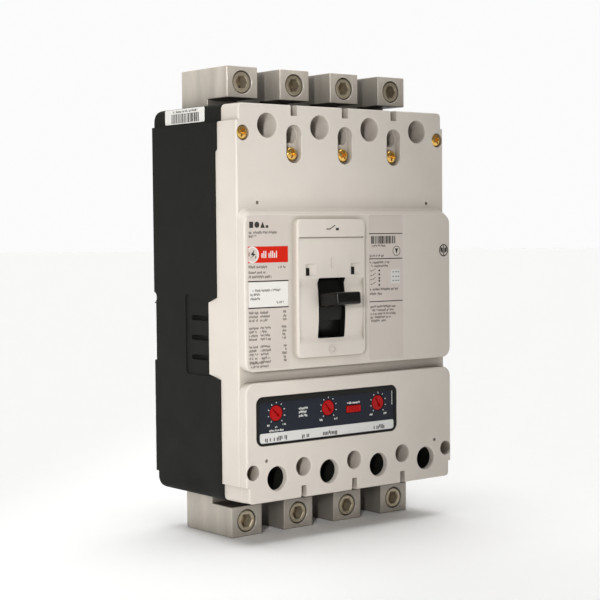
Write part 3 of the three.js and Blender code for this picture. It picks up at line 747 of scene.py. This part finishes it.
# ---------- printed marks ----------
def flat(name, outlines, surface, proud=0.05):
    """Thin closed plates with the given X-Z outlines, standing proud of a face that looks along -Y."""
    points, faces = [], []
    for outline in outlines:
        start, count = len(points), len(outline)
        for y in (surface + 0.1, surface - proud):
            points += [(x, y, z) for x, z in outline]
        faces.append(tuple(range(start, start + count)))
        faces.append(tuple(range(start + 2 * count - 1, start + count - 1, -1)))
        for k in range(count):
            after = (k + 1) % count
            faces.append((start + k, start + count + k, start + count + after, start + after))
    return closed(name, points, faces)


def printed(name, outlines, surface, ink):
    return dress(flat(name, outlines, surface), ink, "root")


def bar(x0, x1, z0, z1):
    return [(x0, z0), (x1, z0), (x1, z1), (x0, z1)]


def print_line(rng, x0, x1, z0, z1, step=0.4):
    """Upright strokes of uneven height that look like a line of small print from a distance."""
    gap_chance = 0.12
    height = z1 - z0
    pitch = step * height
    thick = 0.6 * pitch
    strokes = []
    x = x0
    while x + thick <= x1:
        if rng.random() > gap_chance:
            low, high = rng.choice(((0, 1), (0, 0.72), (0, 0.72), (0.28, 1), (-0.2, 0.72)))
            strokes.append(bar(x, x + thick, z0 + height * low, z0 + height * high))
        x += pitch
    return strokes


def print_lines(rng, lines, height):
    """Lines of print whose rows hold their left end, right end and foot."""
    return [stroke for x0, x1, z in lines for stroke in print_line(rng, x0, x1, z, z + height)]


def bars_code(rng, x0, x1, z0, z1):
    """A row of bars of random width, as on a scanned tag."""
    strokes, x = [], x0
    while x < x1 - 1.2:
        width = rng.choice((0.35, 0.5, 0.9, 1.2))
        strokes.append(bar(x, x + width, z0, z1))
        x += width + rng.choice((0.3, 0.45, 0.8))
    return strokes


def ring_outline(x, z, outer, inner):
    """A ring split by a small gap, so that it is one outline."""
    return arc(x, z, outer, 1, 359, 40) + arc(x, z, inner, 359, 1, 40)


def build_label_plate(name, x, z):
    plate = stack(name, rectangle(x, z, 0.6), [(PAD_Y + 0.1, 0), (LABEL_Y, 0)])
    dress(plate, SILVER, "root")


def build_left_label():
    rng = random.Random(3)
    left, right = -87.8, -55.2
    build_label_plate("left_label", (left, right), (-41.6, 56.4))
    mark = [
        bar(-86.4, -83.2, 48.5, 52.5), arc(-80.3, 50.5, 2, 0, 330, 11),
        [(-77.6, 48.5), (-73.9, 48.5), (-75.7, 52.5)], bar(-73.2, -71.2, 48.5, 50.2),
    ]
    lines = [
        (-86.6, -64.3, 44.9), (-86.9, -81, 42.5), (-87.2, -72.3, 22.9), (-63.5, -57.3, 22.5),
        (-87.2, -72.7, 19.4), (-87.2, -68.9, 16.6),
    ]
    small = print_lines(rng, lines, 1.7)
    rules = [bar(left, right, z, z + 0.75) for z in (14.1, -2.9)]
    printed("left_label_marks", mark + rules, LABEL_Y, INK)
    printed("left_label_print", small + left_label_table(rng), LABEL_Y, FAINT_INK)
    build_red_band(left, right)
    build_left_emblem(left)
    levels = [(LABEL_Y + 0.05, 0), (LABEL_Y - 0.1, 0)]
    sticker = stack("rating_sticker", rectangle((left + 0.5, right - 0.5), (-1.9, 13.9), 0.3), levels)
    dress(sticker, PAPER, "root")
    notes = [(-84.2, -61.8, 7.9), (-86, -78, 5.3), (-86, -78, 2.6), (-65.6, -58.7, -0.1)]
    printed("rating_sticker_print", print_lines(rng, notes, 1.6), LABEL_Y - 0.1, FAINT_INK)


def left_label_table(rng):
    """Rows of print in three columns with two rows left empty, and two lines below them."""
    pitch, height = 2.42, 1.6
    table = []
    for row in range(14):
        z = -6.3 - pitch * row
        if row in (3, 8):
            continue
        table += print_line(rng, -87.2, -80.2 + rng.uniform(-1, 0.6), z, z + height)
        table += print_line(rng, -78.2, -70.2 + rng.uniform(-2, 0.6), z, z + height)
        table += print_line(rng, -61 + rng.uniform(0, 1.5), -57, z, z + height)
    return table + print_lines(rng, [(-87.2, -75.7, -38.4), (-86, -71.5, -40.6)], 1.5)


def build_red_band(left, right):
    printed("red_band", [bar(left + 0.2, right - 0.2, 26.3, 36.7)], LABEL_Y, RED_INK)
    places = (-76.8, -75.3, -73.8, -71.2, -69.7, -68.2, -66.7, -65.2)
    code = [bar(x, x + 0.75, 29.3, 33.8 if number % 3 else 32.4) for number, x in enumerate(places)]
    printed("red_band_marks", code, LABEL_Y - 0.05, PALE_INK)


def build_left_emblem(left):
    """A silver disc with a white ring and a spark, cut off by the label's left edge."""
    x, z = -84.2, 31.5
    disc = [(max(u, left + 0.3), v) for u, v in circle(x, z, 4.3, 40)()]
    beside = bar(left + 0.3, x, z - 4.3, z + 4.3)
    printed("left_emblem_disc", [disc], LABEL_Y - 0.08, SILVER)
    printed("left_emblem_field", [beside], LABEL_Y - 0.03, SILVER)
    ring = arc(x, z, 5.2, -128, 128, 32) + arc(x, z, 4.35, 128, -128, 32)
    printed("left_emblem_ring", [ring], LABEL_Y - 0.08, PAPER)
    spark = [
        (x - 2.2, z - 2.8), (x + 0.6, z - 0.5), (x - 1.3, z),
        (x + 1.7, z + 3.3), (x + 1, z + 0.7), (x + 2.7, z + 0.2),
    ]
    legs = [bar(x - 2.9, x - 2.3, z - 1, z + 1.6), bar(x + 2.3, x + 3, z - 2.4, z - 0.8)]
    printed("left_emblem_mark", [spark] + legs, LABEL_Y - 0.1, INK)


def build_right_label():
    rng = random.Random(7)
    left, right = 14.5, 44.7
    build_label_plate("right_label", (left, right), (-41.2, 56.3))
    rules = [bar(left, right, z, z + 0.6) for z in (43.7, 26.7, -2.3)]
    code = bars_code(rng, 16.2, 39.4, 37.2, 42.4)
    dart = [(37.9, 33.8), (39.2, 30), (40.6, 33.8)]
    nodes = [circle(23.3, z, 0.75, 12)() for z in (19, 16.4, 13.8, 12, 9.2)]
    printed("right_label_marks", rules + code + [dart] + nodes, LABEL_Y, INK)
    lines = [
        (16.4, 29.4, 35.1), (14.8, 27.6, 28.2), (14.8, 32.8, 23.8), (15.6, 31.4, 21.4),
        (14.8, 40.6, 5.6), (14.8, 26, 2.6),
    ]
    strokes = print_lines(rng, lines, 1.6)
    for z in (18.6, 15.6, 12.7, 9.6):
        strokes += [bar(15.2, 17, z, z + 0.5), [(17.4, z), (20, z + 1.6), (20, z + 2), (17.4, z + 0.5)]]
    for row, end in enumerate((38.4, 36.2, 38, 34.6, 29.8)):
        strokes += print_line(rng, 15.2, end, -6.2 - 2.4 * row, -4.6 - 2.4 * row)
    strokes.append(ring_outline(39.2, 32.1, 3.5, 3))
    printed("right_label_print", strokes, LABEL_Y, FAINT_INK)
    printed("right_label_patch", [bar(33.8, 42, 9.9, 19.6)], LABEL_Y, STRIP)
    dots = [bar(x, x + 1.1, z, z + 0.8) for x in (35.4, 38, 40.2) for z in (11.4, 14.2, 17.4)]
    printed("right_label_patch_marks", dots, LABEL_Y - 0.05, FAINT_INK)


def build_face_marks():
    """Small printed marks on the beige faces."""
    x, z = MECHANISM_X, 47.4
    symbol = [
        bar(x - 5, x - 2, z - 0.35, z + 0.35),
        [(x - 1.9, z - 0.3), (x + 2.6, z + 2.2), (x + 2.4, z + 2.8), (x - 2.1, z + 0.3)],
        bar(x + 3, x + 5.6, z - 0.9, z + 0.7),
    ]
    printed("switch_symbol", symbol, BAND_Y, INK)
    x, z = 84, 31.8
    wing = [(3, 2.3), (0.8, 1.5), (0.8, -2), (3, -0.7)]
    wings = [[(x - u * side, z + v) for u, v in wing] for side in (-1, 1)]
    emblem = [ring_outline(x, z, 4.3, 3.5), bar(x - 0.4, x + 0.4, z - 3.3, z + 3.3)] + wings
    printed("round_emblem", emblem, PAD_Y, INK)


def build_side_sticker():
    rng = random.Random(11)
    side = -(CASE_HALF - STEP_INSET)
    outline = rectangle((-60.5, -14.5), (118.1, 127.9), 1)()
    dress(prism("side_sticker", outline, (side + 0.1, side - 0.12)), PAPER, "root")
    code = bars_code(rng, -54, -22, 118.8, 124.8)
    line = print_line(rng, -53, -24, 125.6, 127)
    pieces = [prism("side_sticker_bar", outline, (side, side - 0.17)) for outline in code + line]
    form = bmesh.new()
    for piece in pieces:
        form.from_mesh(piece.data)
        bpy.data.objects.remove(piece)
    mesh = bpy.data.meshes.new("side_sticker_print")
    form.to_mesh(mesh)
    form.free()
    dress(placed("side_sticker_print", mesh), INK, "root")


# ---------- trip unit ----------
def build_trip_unit():
    rng = random.Random(5)
    outline = rectangle(narrowed(TRIP_X, 0.1), narrowed(TRIP_Z, 0.1), 4.9, 8)
    border = stack("trip_window_frame", outline, rounded_front(-101.4, FRAME_Y, 0.35, 3))
    opening = rectangle(narrowed(TRIP_X, 2.6, 2.4), narrowed(TRIP_Z, 1.4, 3.8), 3, 8)
    combine(border, [stack("opening", opening, flared(-95, FRAME_Y, 0.5, 3))])
    mould(border, "black_plastic")
    build_faceplate()
    build_rating_strip(rng)
    build_faceplate_marks(rng)
    for number, angle in enumerate((-42, -48, -60), 1):
        build_dial(number, math.radians(angle))
    build_trip_button()


def build_faceplate():
    outline = rectangle(narrowed(TRIP_X, 0.5), narrowed(TRIP_Z, 0.5), 4.5, 8)
    plate = stack("trip_faceplate", outline, [(-99.8, 0), (PLATE_Y + 1.1, 0)])
    inner = rectangle(narrowed(TRIP_X, 2.7, 2.5), narrowed(TRIP_Z, 1.5, 3.9), 2.9, 8)
    combine(plate, [stack("face", inner, [(-100, 0), (PLATE_Y, 0)])], "UNION")
    posts = [turned("post", [(2.5, -100.5), (2.5, -86.4)], x, -66, 20) for x in (-76, 32)]
    combine(plate, posts, "UNION")
    holes = [stack("dial_hole", circle(x, z, 5.5), flared(-95, PLATE_Y, 0.3, 3)) for x, _, z in DIALS]
    x, _, z = BUTTON
    around_button = rectangle(around(x, 6.45), around(z, 2.65), 0.7)
    combine(plate, holes + [stack("button_hole", around_button, flared(-95, PLATE_Y, 0.25, 3))])
    mould(plate, "faceplate_plastic", nodes=["trip_unit_faceplate"])


def build_rating_strip(rng):
    front = PLATE_Y - 0.1
    strip = rectangle(narrowed(TRIP_X, 2.9, 2.7), (TRIP_Z[0] + 1.7, -83.5), 1.2)
    dress(stack("rating_strip", strip, [(PLATE_Y + 0.1, 0), (front, 0)]), STRIP, "root")
    words = [(-75, -69.4), (-68, -60.4), (-59.2, -56), (-44.6, -38.4), (-26.8, -14.6), (17.8, 28.2)]
    strokes = [stroke for x0, x1 in words for stroke in print_line(rng, x0, x1, -88.9, -85.9, 0.42)]
    printed("rating_strip_print", strokes, front, INK)


def build_faceplate_marks(rng):
    """The dials' scales with small print beside them, and the lines of print between the dials."""
    tick = [(6.3, -0.22), (7.3, -0.22), (7.3, 0.22), (6.3, 0.22)]
    marks = []
    for x, _, z in DIALS:
        for step in range(9):
            marks.append(rotated(tick, math.radians(-50 + 35 * step), x, z))
        for u in (-7.6, 5):
            marks += print_line(rng, x + u, x + u + 2.6, z - 8.2, z - 6.9)
    x, _, z = DIALS[0]
    marks += print_line(rng, x - 1.2, x + 1.2, z - 9.4, z - 8.4)
    marks += print_line(rng, x - 6, x + 6, z - 11.7, z - 10.3)
    for row in range(3):
        marks += print_line(rng, -47, -39.4 - row % 2, -70.2 - 2.4 * row, -68.6 - 2.4 * row)
    marks += print_line(rng, -5.6, 5.6, -69.8, -68.4)
    marks += [bar(34.3, 34.9, -64.4 - 1.1 * k, -63.7 - 1.1 * k) for k in range(9)]
    printed("faceplate_marks", marks, PLATE_Y, PALE_INK)


def build_dial(number, angle):
    """A red dial on its stem, with a sunk arrow at this angle."""
    x, _, z = DIALS[number - 1]
    node = f"trip_dial_{number}"
    profile = [(2, -78), (2, -99.5), (5.15, -99.5), (5.15, -101.9), (4.95, -102.25), (4.6, -102.4)]
    dial = turned(node, profile, x, z)
    arrow = [(-3.7, -0.55), (1, -0.55), (1, -1.5), (3.9, 0), (1, 1.5), (1, 0.55), (-3.7, 0.55)]
    combine(dial, [slab("arrow", rotated(arrow, angle, x, z), (-100.9, -110))])
    dial.name = f"dial_{number}"
    mould(dial, "red_plastic", node, [node])


def build_trip_button():
    x, _, z = BUTTON
    outline = rectangle(around(x, 6.1), around(z, 2.3), 0.5)
    cap = stack("push_button", outline, rounded_front(-98.5, -103, 0.4, 3))
    combine(cap, [turned("stem", [(1.5, -98), (1.5, -93)], x, z, 20)], "UNION")
    ribs = [
        block("rib", around(x + place, 0.25), (-110, -102.6), around(z, 1.6))
        for place in (-3.6, -1.2, 1.2, 3.6)
    ]
    combine(cap, ribs)
    mould(cap, "red_plastic", "trip_button", ["trip_button"])


# ---------- handle ----------
def build_handle():
    """The toggle, made about its pivot and then turned to its rest angle."""
    root_y, root_thick, taper = -54, 4.75, 0.75
    loops = []
    for y, grow in [(-53.5, 0), (-56, 0)] + rounded_front(-60, -HANDLE_TIP, 1.9, 6)[1:]:
        thick = root_thick - taper * (root_y - y) / (HANDLE_TIP + root_y)
        outline = rectangle(around(0, HANDLE_HALF), around(0, thick), 1.3, 5)
        loops.append([(x, y, z) for x, z in outline(grow)])
    handle = solid("handle", loops)
    inner, outer = SKIRT_RADIUS
    half_turn, spread = 180, 14.2
    start, end = half_turn - spread, half_turn + spread
    skirt = arc(0, 0, outer, start, end, 16) + arc(0, 0, inner, end, start, 16)
    hood = bevelled(prism("skirt", skirt, (-10.8, 10.8)), 0.45)
    stem = block("stem", (-8.5, 8.5), (-53.8, -45.8), (-2.5, 2.5))
    combine(handle, [hood, stem], "UNION")
    depth = (-HANDLE_TIP - 1, -HANDLE_TIP + 0.4)
    combine(handle, [block("grip", (-7.5, 7.5), depth, around(z, 0.3)) for z in (-1.2, 1.2)])
    pivot = Vector((0, *PIVOT)) * MM
    handle.data.transform(Matrix.Translation(pivot) @ Matrix.Rotation(-HANDLE_REST, 4, "X"))
    handle.data.transform(Matrix.Translation((MECHANISM_X * MM, 0, 0)))
    handle.name = "handle_grip"
    mould(handle, "black_plastic", "handle", ["toggle_handle"])


def build_window_liner():
    """A thin black lining of the handle's window, cut to follow the saddle."""
    gap, wall = 0.02, 0.31
    outline = rectangle(around(MECHANISM_X, WINDOW_HALF - gap), narrowed(WINDOW_Z, gap), 0.95)
    liner = stack("window_liner", outline, [(-102, 0), (-109, 0)])
    inside = rectangle(around(MECHANISM_X, WINDOW_HALF - gap - wall), narrowed(WINDOW_Z, gap + wall), 0.7)
    cutters = [stack("inner", inside, [(-95, 0), (-FAR, 0)])]
    cutters.append(prism("front", saddle(0.12), (-60, 20)))
    cutters.append(block("above", (-60, 20), (-FAR, ESCUTCHEON_Y + 0.2), (-40, 30)))
    combine(liner, cutters)
    mould(liner, "black_plastic")


# ---------- lugs and screws ----------
def build_lug(end, side, clamp_z, tang_z):
    """A lug at X 0: a block with its cable bore and clamp thread, and a tang that goes into the case."""
    front, rear = LUG_Y
    inner = end - LUG_BLOCK
    points = [
        (rear, end), (front, end), (front, inner), (TANG_Y[0], inner),
        (TANG_Y[0], TANG_TIP), (TANG_Y[1], TANG_TIP), (TANG_Y[1], TANG_ROOT), (rear, TANG_ROOT),
    ]
    lug = bevelled(prism("lug", [(y, z * side) for y, z in points], around(0, LUG_HALF)), 0.7)
    thread = stack("thread", circle(0, clamp_z, CLAMP_RADIUS + 0.45), flared(CABLE_Y, front, 1.0))
    chamfer = 0.9
    bore = [
        (CABLE_RADIUS + 6, end + 5), (CABLE_RADIUS + chamfer, end),
        (CABLE_RADIUS, end - chamfer), (CABLE_RADIUS, 118),
    ]
    loops = [[(u, v, side * z) for u, v in circle(0, CABLE_Y, radius)()] for radius, z in bore]
    cable = solid("cable", loops)
    hole = stack("tang", circle(0, tang_z, 3.3, 24), [(-55, 0), (-35, 0)])
    return combine(lug, [thread, cable, hole])


def build_clamp_screw(z):
    """A threaded screw at X 0 with a hexagonal socket."""
    core = CLAMP_RADIUS - 0.5
    head = LUG_Y[0] + CLAMP_SINK
    back = head + CLAMP_LENGTH
    profile = [(core - 0.6, back), (core, back - 0.8)]
    for number in range(10):
        y = back - 1.2 - number * THREAD_PITCH
        profile += [(CLAMP_RADIUS, y), (CLAMP_RADIUS, y - 0.4), (core, y - 1), (core, y - 1.4)]
    profile += [(CLAMP_RADIUS, head + 2.2), (CLAMP_RADIUS, head + 1), (6.7, head + 0.3), (6.2, head)]
    screw = turned("clamp_screw", profile, 0, z)
    socket = [(4.6, head + 8), (4.6, head + 0.5), (5.3, head - 0.1), (5.3, head - 4)]
    return combine(screw, [turned("socket", socket, 0, z, 6)])


def build_terminal_bolt(z):
    """A washer and a socket-head bolt at X 0 that clamp the tang."""
    face = TANG_Y[0]
    profile = [
        (3, face + 12), (3, face - 0.2), (6.3, face - 0.2), (6.3, face - 1.6), (4.9, face - 1.7),
        (4.9, face - 6.5), (4.4, face - 7),
    ]
    bolt = turned("terminal_bolt", profile, 0, z)
    return combine(bolt, [turned("key", [(2.9, face - 3), (2.9, face - 12)], 0, z, 6)])


def build_lugs():
    for end_name, side, tang_z in (("line", 1, ACCESS_TOP_Z), ("load", -1, ACCESS_BOTTOM_Z)):
        low, high = span(f"{end_name}_lug_1", 2)
        end = high if side > 0 else -low
        clamp_z = side * (end - LUG_BLOCK / 2)
        lug = build_lug(end, side, clamp_z, tang_z)
        screw = build_clamp_screw(clamp_z)
        bolt = build_terminal_bolt(tang_z)
        for pole, x in enumerate(POLES, 1):
            lug_copy = moved(lug, f"{end_name}_lug_body_{pole}", (x, 0, 0))
            mould(lug_copy, "lug_metal", nodes=[f"{end_name}_lug_{pole}"])
            screw_node = f"{end_name}_clamp_screw_{pole}"
            clamp = moved(screw, f"{end_name}_clamp_{pole}", (x, 0, 0))
            dress(clamp, SHADE_DARKENED_CLAMP_METAL, screw_node, "lug_metal", [screw_node])
            mould(moved(bolt, f"{end_name}_terminal_bolt_{pole}", (x, 0, 0)), "steel")
        for template in (lug, screw, bolt):
            bpy.data.objects.remove(template)


def build_cover_screws():
    """The brass screws, each with its cross at an angle of its own."""
    notch = [(-2.8, -0.6), (2.8, -0.6), (2.8, 0.6), (-2.8, 0.6)]
    for number in range(1, 8):
        node = f"cover_screw_{number}"
        x, _, z = middle(node)
        head = span(node, 1)[0]
        profile = [
            (2.2, -60), (2.2, head + 2.9), (4.5, head + 2.9), (4.5, head + 1.5),
            (4.1, head + 0.7), (3.2, head + 0.15), (1.5, head),
        ]
        screw = turned(f"cover_screw_head_{number}", profile, x, z, 40)
        angle = math.radians(25 + 47 * number)
        cutters = [
            slab("cross", rotated(notch, a, x, z), (head + 2.4, head - 2))
            for a in (angle, angle + math.pi / 2)
        ]
        mould(combine(screw, cutters), "brass_screw", nodes=[node])


# ---------- studio ----------
def build_studio():
    sides = 64
    floor_z = cad_box[0].z
    mesh = bpy.data.meshes.new("floor")
    angles = [math.tau * k / sides for k in range(sides)]
    rim = [(FLOOR_RADIUS * math.cos(a), FLOOR_RADIUS * math.sin(a), floor_z) for a in angles]
    mesh.from_pydata(rim, [], [tuple(range(sides))])
    floor = placed("floor", mesh)
    mesh.materials.append(finish("studio_floor", (254, 254, 253), 0.9, grain=60, bump=0, shift=0.004))
    build_sky()

    overhead = bpy.data.lights.new("overhead", "SUN")
    overhead.energy = OVERHEAD_POWER
    overhead.angle = OVERHEAD_SPREAD
    place_light(overhead, (0, 0, 2), (0, 0, 0))
    key = bpy.data.lights.new("key", "SPOT")
    key.energy = KEY_POWER
    key.spot_size = KEY_CONE
    key.spot_blend = 1
    key.shadow_soft_size = KEY_SIZE
    place_light(key, KEY_PLACE, KEY_AIM).scale.x = KEY_SQUEEZE


def build_sky():
    """A soft glow from one side, with a plain pale backdrop in its place for what the camera sees."""
    world = bpy.data.worlds.new("studio")
    world.use_nodes = True
    nodes, links = world.node_tree.nodes, world.node_tree.links
    sky = nodes["Background"]
    ray = nodes.new("ShaderNodeTexCoord")
    toward = nodes.new("ShaderNodeVectorMath")
    toward.operation = "DOT_PRODUCT"
    toward.inputs[1].default_value = GLOW_SIDE
    links.new(ray.outputs["Generated"], toward.inputs[0])
    glow = nodes.new("ShaderNodeMapRange")
    glow.interpolation_type = "SMOOTHSTEP"
    glow.inputs["From Min"].default_value = 0.1
    glow.inputs["From Max"].default_value = 0.9
    glow.inputs["To Min"].default_value = SKY[0]
    glow.inputs["To Max"].default_value = SKY[1]
    links.new(toward.outputs["Value"], glow.inputs["Value"])
    backdrop = nodes.new("ShaderNodeMix")
    backdrop.inputs["B"].default_value = BACKDROP
    links.new(nodes.new("ShaderNodeLightPath").outputs["Is Camera Ray"], backdrop.inputs["Factor"])
    links.new(glow.outputs["Result"], backdrop.inputs["A"])
    links.new(backdrop.outputs["Result"], sky.inputs["Strength"])
    sky.inputs["Color"].default_value = (1, 1, 1, 1)
    bpy.context.scene.world = world
    bpy.context.scene.view_settings.view_transform = "Standard"


def place_light(light, place, aim):
    lamp = placed(light.name, light)
    lamp.location = place
    lamp.rotation_euler = (Vector(aim) - Vector(place)).to_track_quat("-Z", "Y").to_euler()
    return lamp


def build_camera():
    a, e = CAMERA_AZIMUTH, CAMERA_ELEVATION
    back = Vector((math.sin(a) * math.cos(e), -math.cos(a) * math.cos(e), math.sin(e)))
    level = (-back).cross(Vector((0, 0, 1))).normalized()
    upright = level.cross(-back)
    c, s = math.cos(CAMERA_ROLL), math.sin(CAMERA_ROLL)
    right, up = c * level + s * upright, c * upright - s * level
    data = bpy.data.cameras.new("camera")
    data.lens = CAMERA_LENS
    data.sensor_width = SENSOR_WIDTH
    camera = placed("camera", data)
    turned_to = Matrix((right, up, back)).transposed().to_4x4()
    camera.matrix_world = Matrix.Translation(Vector(CAMERA_PLACE) * MM) @ turned_to
    bpy.context.scene.camera = camera


slot_of = {row["node"]: row["material_slot"] for row in frame["record"]["subparts"]}
for node, cad_object in frame["nodes"].items():
    for material_slot in cad_object.material_slots:
        material_slot.material = SLOT_FINISH[slot_of[node]]

build_base()
build_cover()
build_cover_marks()
build_left_label()
build_right_label()
build_face_marks()
build_side_sticker()
build_trip_unit()
build_handle()
build_window_liner()
build_lugs()
build_cover_screws()
build_studio()
build_camera()
